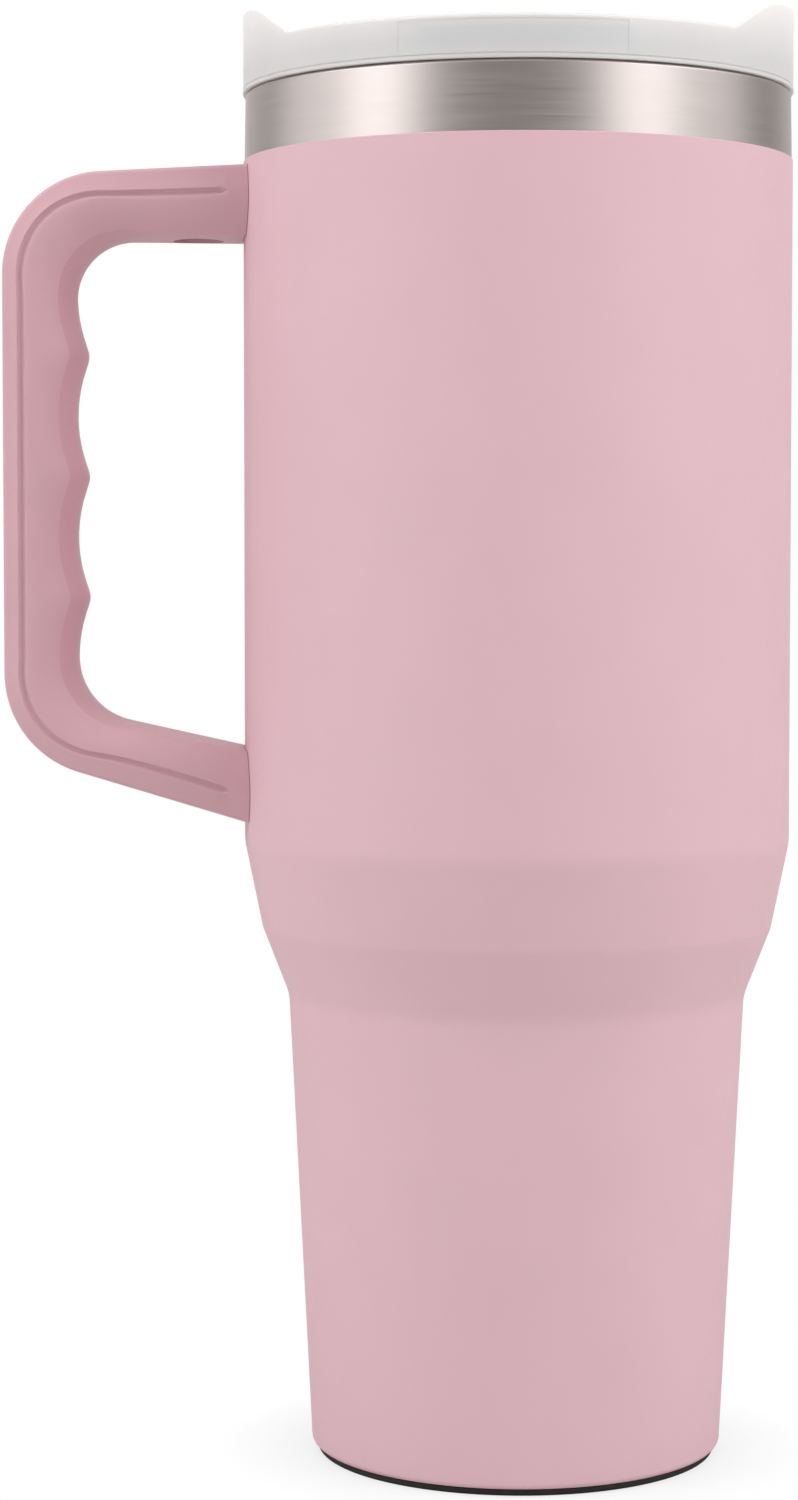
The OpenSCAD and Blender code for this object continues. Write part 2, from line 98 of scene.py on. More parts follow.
def fillet(before, corner, after, radius, steps):
    """Points of an arc that rounds a corner of a flat path."""
    before, corner, after = Vector(before[:2]), Vector(corner[:2]), Vector(after[:2])
    back = (before - corner).normalized()
    ahead = (after - corner).normalized()
    half = back.angle(ahead) / 2
    centre = corner + (back + ahead).normalized() * (radius / math.sin(half))
    start = corner + back * (radius / math.tan(half)) - centre
    end = corner + ahead * (radius / math.tan(half)) - centre
    turn = math.atan2(start.x * end.y - start.y * end.x, start.dot(end))
    first = math.atan2(start.y, start.x)
    angles = [first + turn * k / steps for k in range(steps + 1)]
    return [(centre.x + radius * math.cos(a), centre.y + radius * math.sin(a)) for a in angles]


def rounded(path, steps=ARC_STEPS):
    """A path of (x, y, fillet radius) corners with the fillets drawn as arcs; the ends stay sharp."""
    points = [path[0][:2]]
    for before, corner, after in zip(path, path[1:], path[2:]):
        if corner[2] == 0:
            points.append(corner[:2])
        else:
            points += fillet(before, corner, after, corner[2], steps)
    return points + [path[-1][:2]]


def rounded_ring(path, steps=ARC_STEPS):
    """The same for a closed path, whose first and last corners are rounded too."""
    return rounded([path[-1]] + path + [path[0]], steps)[1:-1]


def inset(depth, top_z):
    """The corners of the cup's outline moved inwards by depth."""
    full = [(0, BASE_Z, 0)] + CUP_LINE + [(CUP_R, top_z, 0)]
    moved = []
    for before, corner, after in zip(full, full[1:], full[2:]):
        first = (Vector(corner[:2]) - Vector(before[:2])).normalized()
        second = (Vector(after[:2]) - Vector(corner[:2])).normalized()
        left_a = Vector((-first.y, first.x))
        left_b = Vector((-second.y, second.x))
        point = Vector(corner[:2]) + depth * (left_a + left_b) / (1 + left_a.dot(left_b))
        convex = 1 if left_a.dot(second) > 0 else -1
        moved.append((point.x, point.y, max(corner[2] - convex * depth, LEAST_FILLET)))
    return moved


# Meshes ---------------------------------------------------------------------


def mark_sharp(mesh):
    """Outward normals and smooth shading, with the edges that turn a lot left sharp."""
    bm = bmesh.new()
    bm.from_mesh(mesh)
    bmesh.ops.recalc_face_normals(bm, faces=bm.faces)
    for face in bm.faces:
        face.smooth = True
    for edge in bm.edges:
        edge.smooth = len(edge.link_faces) == 2 and edge.calc_face_angle(0) < SHARP_ANGLE
    bm.to_mesh(mesh)
    bm.free()


def new_object(name, bm):
    """A scene object made from the edit mesh, which is freed."""
    mesh = bpy.data.meshes.new(name)
    bm.to_mesh(mesh)
    bm.free()
    mark_sharp(mesh)
    obj = bpy.data.objects.new(name, mesh)
    bpy.context.scene.collection.objects.link(obj)
    return obj


def tube(bm, rings):
    """Joins matching rings of vertices in turn and closes both ends."""
    for low, high in zip(rings, rings[1:]):
        for k in range(len(low)):
            after = (k + 1) % len(low)
            bm.faces.new([low[k], low[after], high[after], high[k]])
    bm.faces.new(rings[0])
    bm.faces.new(rings[-1])


def lathe(name, profile, steps=LATHE_STEPS, height=None):
    """A closed profile of (radius, z) points turned round the Z axis.

    A profile that starts and ends on the axis closes there. height, if given, maps (radius, z, angle) to z.
    """
    bm = bmesh.new()
    on_axis = profile[0][0] == 0 and profile[-1][0] == 0
    rings = []
    for r, z in profile:
        if r == 0:
            rings.append([bm.verts.new((0, 0, z))])
            continue
        ring = []
        for k in range(steps):
            angle = 2 * math.pi * k / steps
            ring_z = height(r, z, angle) if height else z
            ring.append(bm.verts.new((r * math.cos(angle), r * math.sin(angle), ring_z)))
        rings.append(ring)
    pairs = list(zip(rings, rings[1:]))
    if not on_axis:
        pairs.append((rings[-1], rings[0]))
    for low, high in pairs:
        for k in range(steps):
            after = k + 1
            corners = [low[k % len(low)], low[after % len(low)],
                       high[after % len(high)], high[k % len(high)]]
            # A ring on the axis is a single point, so its face is a triangle.
            bm.faces.new(list(dict.fromkeys(corners)))
    return new_object(name, bm)


def prism(name, outline, low, high):
    """A flat outline in XZ drawn out along Y from low to high."""
    bm = bmesh.new()
    tube(bm, [[bm.verts.new((x, y, z)) for x, z in outline] for y in (low, high)])
    return new_object(name, bm)


def post(name, x, y, radius, low, high, steps=64):
    """An upright round bar."""
    bm = bmesh.new()
    place = Matrix.Translation((x, y, (low + high) / 2))
    bmesh.ops.create_cone(bm, cap_ends=True, segments=steps, radius1=radius, radius2=radius,
                          depth=high - low, matrix=place)
    return new_object(name, bm)


def block(name, low, high):
    """A box between two corners."""
    bm = bmesh.new()
    size = Vector(high) - Vector(low)
    middle = (Vector(high) + Vector(low)) / 2
    bmesh.ops.create_cube(bm, size=1, matrix=Matrix.Translation(middle) @ Matrix.Diagonal((*size, 1)))
    return new_object(name, bm)


def sector(name, inner, outer, low, high, start, end, steps=48):
    """Part of a square-edged ring between two angles."""
    bm = bmesh.new()
    rings = []
    for k in range(steps + 1):
        angle = start + (end - start) * k / steps
        way = Vector((math.cos(angle), math.sin(angle), 0))
        corners = [(inner, low), (outer, low), (outer, high), (inner, high)]
        rings.append([bm.verts.new(way * r + Vector((0, 0, z))) for r, z in corners])
    tube(bm, rings)
    return new_object(name, bm)


def turn_mesh(obj, angle):
    """Turns the mesh about the cup's axis."""
    obj.data.transform(Matrix.Rotation(angle, 4, "Z"))


def apply_modifiers(obj):
    """Replaces the mesh by what its modifiers make of it."""
    depsgraph = bpy.context.evaluated_depsgraph_get()
    mesh = bpy.data.meshes.new_from_object(obj.evaluated_get(depsgraph))
    obj.modifiers.clear()
    old = obj.data
    obj.data = mesh
    bpy.data.meshes.remove(old)
    mesh.name = obj.name
    mark_sharp(mesh)


def combine(obj, others, operation):
    """Adds the other solids to obj, or cuts them out of it, and removes them."""
    for other in others:
        modifier = obj.modifiers.new(operation, "BOOLEAN")
        modifier.operation = operation
        modifier.solver = "EXACT"
        modifier.object = other
    apply_modifiers(obj)
    for other in others:
        bpy.data.objects.remove(other)


def soften(obj, width, angle, segments):
    """Rounds the edges that turn by more than angle degrees."""
    modifier = obj.modifiers.new("soften", "BEVEL")
    modifier.limit_method = "ANGLE"
    modifier.angle_limit = math.radians(angle)
    modifier.width = width
    modifier.segments = segments
    modifier.use_clamp_overlap = True
    apply_modifiers(obj)
    return obj


# Materials ------------------------------------------------------------------

# Most values of a noise texture lie between these two.
NOISE_LOW = 0.35
NOISE_HIGH = 0.65
# Numbers of the Mix node's sockets when it mixes colours.
MIX_FACTOR = 0
MIX_FIRST = 6
MIX_SECOND = 7
MIX_RESULT = 2


class Look:
    """A Principled material with helpers for the textures that it needs."""

    def __init__(self, name, color, roughness, metallic=0.0):
        self.material = bpy.data.materials.new(name)
        self.material.use_nodes = True
        self.tree = self.material.node_tree
        self.shader = self.tree.nodes["Principled BSDF"]
        self.shader.inputs["Base Color"].default_value = (*color, 1)
        self.shader.inputs["Roughness"].default_value = roughness
        self.shader.inputs["Metallic"].default_value = metallic
        self.place = self.node("ShaderNodeTexCoord").outputs["Object"]

    def node(self, kind, **settings):
        """A new shader node with its settings."""
        made = self.tree.nodes.new(kind)
        for key, value in settings.items():
            setattr(made, key, value)
        return made

    def link(self, source, target):
        self.tree.links.new(source, target)

    def set(self, **values):
        """Plain values for inputs of the shader, with _ for each space in their names."""
        for key, value in values.items():
            self.shader.inputs[key.replace("_", " ")].default_value = value

    def math(self, operation, a, b=0.0):
        """A Math node between two values, each a float or the output of a node."""
        made = self.node("ShaderNodeMath", operation=operation)
        for socket, value in zip(made.inputs, (a, b)):
            if isinstance(value, float):
                socket.default_value = value
            else:
                self.link(value, socket)
        return made.outputs[0]

    def noise(self, scale, detail=2.0, place=None):
        """Noise with scale features per metre."""
        made = self.node("ShaderNodeTexNoise")
        made.inputs["Scale"].default_value = scale
        made.inputs["Detail"].default_value = detail
        self.link(place or self.place, made.inputs["Vector"])
        return made.outputs["Fac"]

    def ramp(self, factor, low, high, start=NOISE_LOW, end=NOISE_HIGH):
        """A value that runs from low to high while the factor runs from start to end."""
        made = self.node("ShaderNodeMapRange")
        made.inputs["From Min"].default_value = start
        made.inputs["From Max"].default_value = end
        made.inputs["To Min"].default_value = low
        made.inputs["To Max"].default_value = high
        self.link(factor, made.inputs["Value"])
        return made.outputs["Result"]

    def blend_colors(self, factor, first, second):
        """A base colour that runs from the first colour to the second with a noise."""
        made = self.node("ShaderNodeValToRGB")
        stops = ((NOISE_LOW, first), (NOISE_HIGH, second))
        for element, (position, color) in zip(made.color_ramp.elements, stops):
            element.position = position
            element.color = (*color, 1)
        self.link(factor, made.inputs["Fac"])
        self.link(made.outputs["Color"], self.shader.inputs["Base Color"])

    def tint(self, factor, color):
        """Mixes a second colour into the base colour by the factor."""
        base = self.shader.inputs["Base Color"]
        made = self.node("ShaderNodeMix", data_type="RGBA")
        self.link(factor, made.inputs[MIX_FACTOR])
        self.link(base.links[0].from_socket, made.inputs[MIX_FIRST])
        made.inputs[MIX_SECOND].default_value = (*color, 1)
        self.link(made.outputs[MIX_RESULT], base)

    def bump(self, height, distance, strength):
        """Fine relief of the given height."""
        made = self.node("ShaderNodeBump")
        made.inputs["Distance"].default_value = distance
        made.inputs["Strength"].default_value = strength
        self.link(height, made.inputs["Height"])
        self.link(made.outputs["Normal"], self.shader.inputs["Normal"])

    def around(self, turns, rise):
        """Coordinates that run round the Z axis and up it, for brush marks."""
        split = self.node("ShaderNodeSeparateXYZ")
        self.link(self.place, split.inputs[0])
        angle = self.math("ARCTAN2", split.outputs["Y"], split.outputs["X"])
        join = self.node("ShaderNodeCombineXYZ")
        self.link(self.math("MULTIPLY", angle, turns), join.inputs["X"])
        self.link(self.math("MULTIPLY", split.outputs["Z"], rise), join.inputs["Z"])
        return join.outputs[0]


def shaded(color, amount):
    """The colour made lighter or darker by the factor amount."""
    return tuple(min(1.0, channel * amount) for channel in color)


def powder_paint():
    """Satin powder coating: fine orange peel and faint clouding."""
    pink = (0.705, 0.457, 0.510)
    look = Look("powder_paint", pink, 0.58)
    look.blend_colors(look.noise(60.0, 3.0), shaded(pink, 0.99), shaded(pink, 1.01))
    peel = look.math("ADD", look.noise(1500.0, 3.0), look.math("MULTIPLY", look.noise(420.0), 0.6))
    look.bump(peel, 0.02 * MM, 0.5)
    look.link(look.ramp(look.noise(900.0), 0.54, 0.62), look.shader.inputs["Roughness"])
    return look.material


def moulded_pink():
    """Matte moulded plastic with a fine spark-eroded grain."""
    pink = (0.625, 0.368, 0.418)
    look = Look("moulded_pink", pink, 0.5)
    look.blend_colors(look.noise(45.0), shaded(pink, 0.98), shaded(pink, 1.02))
    look.bump(look.noise(2600.0, 2.0), 0.02 * MM, 0.45)
    look.link(look.ramp(look.noise(1200.0), 0.46, 0.56), look.shader.inputs["Roughness"])
    return look.material


def brushed_steel():
    """Bare band and rim, brushed round the axis."""
    grey = (0.60, 0.54, 0.52)
    look = Look("brushed_steel", grey, 0.36, 1.0)
    fine = look.noise(1.0, 3.0, look.around(2.5, 5200.0))
    broad = look.noise(1.0, 2.0, look.around(1.5, 900.0))
    marks = look.math("ADD", look.math("MULTIPLY", fine, 0.65), look.math("MULTIPLY", broad, 0.35))
    look.blend_colors(marks, shaded(grey, 0.97), shaded(grey, 1.03))
    look.bump(marks, 0.003 * MM, 0.2)
    look.link(look.ramp(marks, 0.33, 0.40), look.shader.inputs["Roughness"])
    look.set(Anisotropic=0.4)
    return look.material


def satin_steel():
    """Blasted and polished steel of the liner, bases and small fittings."""
    grey = (0.58, 0.56, 0.54)
    look = Look("satin_steel", grey, 0.36, 1.0)
    look.blend_colors(look.noise(140.0, 3.0), shaded(grey, 0.95), shaded(grey, 1.04))
    look.bump(look.noise(3000.0), 0.006 * MM, 0.3)
    look.link(look.ramp(look.noise(260.0), 0.32, 0.42), look.shader.inputs["Roughness"])
    return look.material


def screw_steel():
    """Darker steel of the screws and the washer."""
    grey = (0.50, 0.49, 0.48)
    look = Look("screw_steel", grey, 0.3, 1.0)
    look.blend_colors(look.noise(900.0, 3.0), shaded(grey, 0.9), shaded(grey, 1.05))
    look.bump(look.noise(2200.0), 0.01 * MM, 0.3)
    return look.material


def frosted(name, color, roughness):
    """Milky plastic with a fine frost and soft light inside."""
    look = Look(name, color, roughness)
    look.blend_colors(look.noise(70.0, 2.0), shaded(color, 0.985), shaded(color, 1.01))
    look.bump(look.noise(2400.0, 2.0), 0.012 * MM, 0.35)
    frost = look.ramp(look.noise(500.0), roughness - 0.04, roughness + 0.06)
    look.link(frost, look.shader.inputs["Roughness"])
    look.set(Subsurface_Weight=0.35, Subsurface_Radius=(1.0, 0.95, 0.9), Subsurface_Scale=2.0 * MM)
    return look


def lid_plastic():
    """Frosted plastic with painted light and shade: the wall painted paler towards its top, and a painted
    cool shade in the thin panels.
    """
    look = frosted("lid_plastic", (0.66, 0.645, 0.64), 0.42)
    # Where each change starts and ends: heights, and distances from the middle for the panel's sides.
    painted_light_z = (252.0 * MM, 262.0 * MM)
    panel_low_z = (250.9 * MM, 251.5 * MM)
    panel_high_z = (253.9 * MM, 254.7 * MM)
    panel_x = (17.0 * MM, 19.5 * MM)
    split = look.node("ShaderNodeSeparateXYZ")
    look.link(look.place, split.inputs[0])
    height = split.outputs["Z"]
    # Painted light: the wall is tinted paler towards its top, where more light falls on it.
    look.tint(look.ramp(height, 0.0, 1.0, *painted_light_z), (0.84, 0.82, 0.81))
    across = look.math("ABSOLUTE", split.outputs["X"])
    rows = look.math("MULTIPLY", look.ramp(height, 0.0, 1.0, *panel_low_z),
                     look.ramp(height, 1.0, 0.0, *panel_high_z))
    panel_shade = look.math("MULTIPLY", look.ramp(across, 1.0, 0.0, *panel_x), rows)
    # Painted shade: a cooler grey in the thin panels, for the shaded deck seen through the wall.
    look.tint(look.math("MULTIPLY", panel_shade, 0.7), (0.62, 0.63, 0.645))
    return look.material


def foot_rubber():
    """Black rubber with a coarse grain."""
    black = (0.012, 0.009, 0.009)
    look = Look("foot_rubber", black, 0.75)
    look.blend_colors(look.noise(400.0, 3.0), shaded(black, 0.7), shaded(black, 1.6))
    look.bump(look.noise(1800.0, 3.0), 0.04 * MM, 0.6)
    return look.material


def seal_silicone():
    """Milky silicone of the seal and the gasket."""
    white = (0.72, 0.72, 0.71)
    look = Look("seal_silicone", white, 0.4)
    look.blend_colors(look.noise(90.0), shaded(white, 0.98), shaded(white, 1.02))
    look.bump(look.noise(1500.0), 0.01 * MM, 0.3)
    look.set(Subsurface_Weight=0.4, Subsurface_Radius=(1.0, 1.0, 1.0), Subsurface_Scale=2.0 * MM)
    return look.material


def solder_glass():
    """Glossy dark glass of the bead that closes the port."""
    grey = (0.05, 0.055, 0.06)
    look = Look("solder_glass", grey, 0.12)
    look.blend_colors(look.noise(700.0, 3.0), shaded(grey, 0.6), shaded(grey, 1.8))
    look.bump(look.noise(500.0), 0.03 * MM, 0.5)
    return look.material


def getter_metal():
    """Porous pressed metal powder."""
    grey = (0.33, 0.32, 0.31)
    look = Look("getter_metal", grey, 0.6, 0.9)
    look.blend_colors(look.noise(1100.0, 4.0), shaded(grey, 0.7), shaded(grey, 1.2))
    look.bump(look.noise(2600.0, 3.0), 0.05 * MM, 0.7)
    return look.material


def adhesive_film():
    """Cloudy cream film."""
    cream = (0.66, 0.62, 0.50)
    look = Look("adhesive_film", cream, 0.5)
    look.blend_colors(look.noise(220.0, 3.0), shaded(cream, 0.92), shaded(cream, 1.05))
    look.bump(look.noise(700.0), 0.03 * MM, 0.4)
    return look.material


PAINT = powder_paint()
HANDLE_PLASTIC = moulded_pink()
BRUSHED = brushed_steel()
SATIN = satin_steel()
SCREW = screw_steel()
LID_PLASTIC = lid_plastic()
COVER_PLASTIC = frosted("cover_plastic", (0.70, 0.69, 0.685), 0.38).material
RUBBER = foot_rubber()
SILICONE = seal_silicone()
GLASS = solder_glass()
GETTER = getter_metal()
FILM = adhesive_film()


def dress(obj, node, material):
    """Gives a new piece its material, and lets it stand for a CAD node and move with that node's body."""
    obj.data.materials.clear()
    obj.data.materials.append(material)
    body = next(b for b, nodes in frame["record"]["behaviour"]["bodies"].items() if node in nodes)
    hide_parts(node)
    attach(obj, body)


def paint_node(node, material):
    """Gives a kept CAD node its material and flat shading."""
    obj = frame["nodes"][node]
    obj.data.materials.clear()
    obj.data.materials.append(material)
    for polygon in obj.data.polygons:
        polygon.use_smooth = False


# Cup ------------------------------------------------------------------------


def wall_profile(outside, inside):
    """Closed profile of a wall between two paths that run the same way."""
    return rounded(outside) + rounded(inside)[::-1]


def make_coat():
    """Powder coating as a thin sleeve, with its upper edge rounded."""
    edge = 0.12 * MM
    outside = [(COAT_LOW_R, BASE_Z, 0)] + inset(0, COAT_TOP_Z)
    outside += [(CUP_R, COAT_TOP_Z, edge), (CUP_R - COAT_T, COAT_TOP_Z, 0)]
    inside = [(COAT_LOW_R, BASE_Z + COAT_T, 0)] + inset(COAT_T, COAT_TOP_Z)
    inside += [(CUP_R - COAT_T, COAT_TOP_Z - edge, 0)]
    coat = lathe("coat_sleeve", wall_profile(outside, inside))
    dress(coat, "powder_coat", PAINT)


def make_shell():
    """Outer steel wall: hidden under the coating, bare at the band and rolled in at the rim."""
    low = BASE_Z + COAT_T
    shell_r = CUP_R - COAT_T
    outside = [(LIP_R, low, 0)] + inset(COAT_T, COAT_TOP_Z)
    outside += [(shell_r, COAT_TOP_Z, 0), (shell_r - BAND_DRAFT, RIM_Z, RIM_FILLET), (RIM_SEAM_R, RIM_Z, 0)]
    inside = [(LIP_R, low + SHELL_T, 0)] + inset(COAT_T + SHELL_T, COAT_TOP_Z)
    inside += [(shell_r - SHELL_T, COAT_TOP_Z, 0),
               (shell_r - BAND_DRAFT - SHELL_T, RIM_Z - SHELL_T, RIM_FILLET - SHELL_T),
               (RIM_SEAM_R, RIM_Z - SHELL_T, 0)]
    shell = lathe("steel_shell", wall_profile(outside, inside))
    dress(shell, "outer_shell", BRUSHED)


def liner_corners(depth):
    """The liner's wall, from its weld to its base up to the rim, moved in by depth from the cup outline."""
    corners = inset(depth, COAT_TOP_Z)
    low, high = corners[0], corners[1]
    slope = (high[0] - low[0]) / (high[1] - low[1])
    end_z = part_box("liner")[0].z
    return [(low[0] + slope * (end_z - low[1]), end_z, 0)] + corners[1:]


def make_liner():
    """Inner steel wall, with the other half of the rolled rim."""
    outer_r = CUP_R - LINER_INSET
    outside = liner_corners(LINER_INSET)
    outside += [(outer_r, RIM_Z - LINER_T, RIM_FILLET - LINER_T), (RIM_SEAM_R, RIM_Z - LINER_T, 0)]
    inside = liner_corners(LINER_INSET + LINER_T)
    inside += [(outer_r - LINER_T, RIM_Z, RIM_FILLET), (RIM_SEAM_R, RIM_Z, 0)]
    liner = lathe("steel_liner", wall_profile(outside, inside))
    dress(liner, "liner", SATIN)


def make_liner_base():
    """Dished bottom of the liner."""
    low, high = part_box("liner_base")
    dish_fillet = 5.0 * MM
    r = high.x
    outside = [(0, low.z, 0), (r - LINER_T, low.z, dish_fillet), (r, high.z, 0)]
    inside = [(0, low.z + LINER_T, 0), (r - 2 * LINER_T, low.z + LINER_T, dish_fillet - LINER_T),
              (r - LINER_T, high.z, 0)]
    base = lathe("steel_liner_base", wall_profile(outside, inside))
    dress(base, "liner_base", SATIN)


def make_foot_pad():
    """Rubber disc with shallow rings under it and a raised core that fits into the base."""
    core_r = 34.3 * MM
    shoulder_z = BASE_Z - 0.05 * MM
    low_edge = 0.5 * MM
    high_edge = 0.2 * MM
    ring_radii = (12.0 * MM, 20.0 * MM, 28.0 * MM)
    ring_depth = 0.25 * MM
    ring_half = 0.8 * MM
    path = [(0, 0, 0)]
    for r in ring_radii:
        for share, z in ((-1, 0), (-0.5, ring_depth), (0.5, ring_depth), (1, 0)):
            path.append((r + share * ring_half, z, 0))
    path += [(PAD_R, 0, low_edge), (PAD_R, shoulder_z, high_edge), (core_r, shoulder_z, 0),
             (core_r, PAD_HIGH.z, 0), (0, PAD_HIGH.z, 0)]
    pad = lathe("rubber_foot", rounded(path))
    dress(pad, "foot_pad", RUBBER)


# Handle ---------------------------------------------------------------------

# Distances from the cup's axis: the ends of the arms, then the outer and the inner side of the grip.
ARM_END = 48.5 * MM
GRIP_OUT = -HANDLE_LOW.x
GRIP_IN = 80.45 * MM
HANDLE_W = HANDLE_HIGH.y - HANDLE_LOW.y

# Heights at the ends of the arms, on the outside and the inside of the bow, with how much they change per
# metre outwards and the fillets of the corners.
TOP_OUT_Z = 235.47 * MM
TOP_OUT_SLOPE = 0.047
TOP_OUT_FILLET = 18.5 * MM
TOP_IN_Z = 222.5 * MM
TOP_IN_FILLET = 10.5 * MM
LOW_OUT_Z = 116.6 * MM
LOW_OUT_SLOPE = 0.3
LOW_OUT_FILLET = 18.7 * MM
LOW_IN_Z = 129.88 * MM
LOW_IN_SLOPE = 0.227
LOW_IN_FILLET = 12.0 * MM

FIRST_FINGER_Z = 212.6 * MM
FINGER_PITCH = 22.0 * MM
FINGER_DEPTH = 2.4 * MM
# The ridges between the hollows are flattened by this share of the depth.
FINGER_PEAK_SOFT = 0.15
FINGER_PEAK_POWER = 8
# The grip follows the hollows between these heights.
GRIP_TOP_Z = 212.2 * MM
GRIP_LOW_Z = 146.8 * MM
GRIP_STEPS = 180
CORNER_STEPS = 28
ARM_STEPS = 40

# Section: outer edge, the strip from there to the groove, the groove, the flank that leans in behind it, the
# crease and the crown.
EDGE_R = 0.8 * MM
EDGE_STEPS = 5
STRIP_LEAN = 0.8 * MM
FLANK_LEAN = 2.4 * MM
FLANK_POWER = 1.7
FLANK_STEPS = 8
CREASE_R = 0.35 * MM
CREASE_STEPS = 5
GRIP_CROWN = 2.7 * MM
ARM_CROWN = 0.5 * MM
CROWN_STEPS = 12
# Shares of the groove's half width and of its depth, from its outer lip to its inner one.
GROOVE_SHAPE = ((-1.25, 0), (-1, 0.12), (-0.7, 0.75), (-0.3, 1), (0.3, 1), (0.7, 0.75), (1, 0.12), (1.25, 0))
GROOVE_HALF = 0.62 * MM
GROOVE_DEPTH = 0.6 * MM
# Where the groove runs, measured in from the outer side, and the distances from the cup's axis between which
# it shifts from one place to the other.
ARM_GROOVE_IN = 4.7 * MM
GRIP_GROOVE_IN = 3.45 * MM
SHIFT_START = 74.0 * MM
SHIFT_END = 92.0 * MM
# It runs out at this distance from the axis. Past there it has no depth, and keeps this share of its width.
GROOVE_END = 53.1 * MM
LEAST_GROOVE = 0.05
# Between the arms' hollowed ends and the cup.
ARM_GAP = 0.1 * MM


def finger(z):
    """How far the grip stands in front of the bottoms of the finger hollows at height z."""
    turn = (z - FIRST_FINGER_Z) / FINGER_PITCH
    arc = (2 * abs(turn - round(turn))) ** 2
    return FINGER_DEPTH * (arc - FINGER_PEAK_SOFT * arc**FINGER_PEAK_POWER)


def handle_stations():
    """Matching (outer, inner) points in XZ, from the upper arm's end to the lower arm's."""
    top_out = [(-ARM_END, TOP_OUT_Z), (-GRIP_OUT, TOP_OUT_Z - TOP_OUT_SLOPE * (GRIP_OUT - ARM_END))]
    low_out = [(-GRIP_OUT, LOW_OUT_Z + LOW_OUT_SLOPE * (GRIP_OUT - ARM_END)), (-ARM_END, LOW_OUT_Z)]
    top_in = [(-ARM_END, TOP_IN_Z), (-GRIP_IN, TOP_IN_Z)]
    low_in = [(-GRIP_IN, LOW_IN_Z + LOW_IN_SLOPE * (GRIP_IN - ARM_END)), (-ARM_END, LOW_IN_Z)]
    arcs = [
        (fillet(top_out[0], top_out[1], low_out[0], TOP_OUT_FILLET, CORNER_STEPS),
         fillet(top_in[0], top_in[1], low_in[0], TOP_IN_FILLET, CORNER_STEPS)),
        (fillet(top_out[1], low_out[0], low_out[1], LOW_OUT_FILLET, CORNER_STEPS),
         fillet(top_in[1], low_in[0], low_in[1], LOW_IN_FILLET, CORNER_STEPS)),
    ]
    ends = [(top_out[0], top_in[0]), (low_out[1], low_in[1])]

    def arm(end, arc_out, arc_in):
        """Stations from the end of an arm to its corner."""
        shares = [k / ARM_STEPS for k in range(ARM_STEPS)]
        return [(Vector(end[0]).lerp(Vector(arc_out), share), Vector(end[1]).lerp(Vector(arc_in), share))
                for share in shares]

    upper = arm(ends[0], arcs[0][0][0], arcs[0][1][0])
    lower = arm(ends[1], arcs[1][0][-1], arcs[1][1][-1])[::-1]
    heights = [GRIP_TOP_Z + (GRIP_LOW_Z - GRIP_TOP_Z) * k / GRIP_STEPS for k in range(GRIP_STEPS + 1)]
    grip = [(Vector((-GRIP_OUT, z)), Vector((-GRIP_IN + finger(z), z))) for z in heights]
    corners = [[(Vector(o), Vector(i)) for o, i in zip(*pair)] for pair in arcs]
    return upper + corners[0] + grip + corners[1] + lower


def smooth_step(value, low, high):
    """Eased share of the way from low to high."""
    share = min(1.0, max(0.0, (value - low) / (high - low)))
    return share * share * (3 - 2 * share)


def half_section(depth, crown, groove_in, groove_fill):
    """Half of the handle's section as points of (distance in from the outer side, half width there)."""
    half_w = HANDLE_W / 2
    strip_w = half_w - STRIP_LEAN
    points = [(0, strip_w - EDGE_R)]
    points += [(EDGE_R * (1 - math.cos(a)), strip_w - EDGE_R * (1 - math.sin(a)))
               for a in (math.pi / 2 * k / EDGE_STEPS for k in range(1, EDGE_STEPS + 1))]
    for share, cut in GROOVE_SHAPE:
        points.append((groove_in + share * GROOVE_HALF * max(groove_fill, LEAST_GROOVE),
                       half_w - cut * GROOVE_DEPTH * groove_fill))
    start = groove_in + GROOVE_SHAPE[-1][0] * GROOVE_HALF
    run = depth - crown - start
    side_w = half_w - FLANK_LEAN
    flank = [(start + run * k / FLANK_STEPS, half_w - FLANK_LEAN * (k / FLANK_STEPS) ** FLANK_POWER)
             for k in range(1, FLANK_STEPS + 1)]
    arch = [(depth - crown * (1 - k / CROWN_STEPS) ** 2, side_w * (1 - k / CROWN_STEPS))
            for k in range(1, CROWN_STEPS)]
    return points + flank[:-1] + fillet(flank[-2], flank[-1], arch[0], CREASE_R, CREASE_STEPS) + arch


def section(outer, inner):
    """Points of the handle's section at one station; the grip is crowned more than the arms."""
    depth = (inner - outer).length
    way = (inner - outer) / depth
    reach = (-outer.x - ARM_END) / (GRIP_OUT - ARM_END)
    crown = ARM_CROWN + (GRIP_CROWN - ARM_CROWN) * reach**2
    grip_share = smooth_step(-outer.x, SHIFT_START, SHIFT_END)
    groove_in = ARM_GROOVE_IN + (GRIP_GROOVE_IN - ARM_GROOVE_IN) * grip_share
    run_in = min(max((-outer.x - GROOVE_END) / GROOVE_HALF, 0.0), 1.0)
    groove_fill = math.sqrt(1 - (1 - run_in) ** 2)
    half = half_section(depth, crown, groove_in, groove_fill)
    near = [Vector((outer.x + way.x * t, -w, outer.y + way.y * t)) for t, w in half]
    far = [Vector((p.x, -p.y, p.z)) for p in reversed(near)]
    return near + far


def make_handle():
    """One moulding: arms, rounded corners, finger grip and the groove down each side."""
    bm = bmesh.new()
    tube(bm, [[bm.verts.new(point) for point in section(*pair)] for pair in handle_stations()])
    handle = new_object("moulded_handle", bm)
    saddle = post("saddle", 0, 0, CUP_R + ARM_GAP, LOW_OUT_Z - CUT_PAST, TOP_OUT_Z + CUT_PAST, LATHE_STEPS)
    combine(handle, [saddle] + arm_sockets(), "DIFFERENCE")
    dress(handle, "handle", HANDLE_PLASTIC)


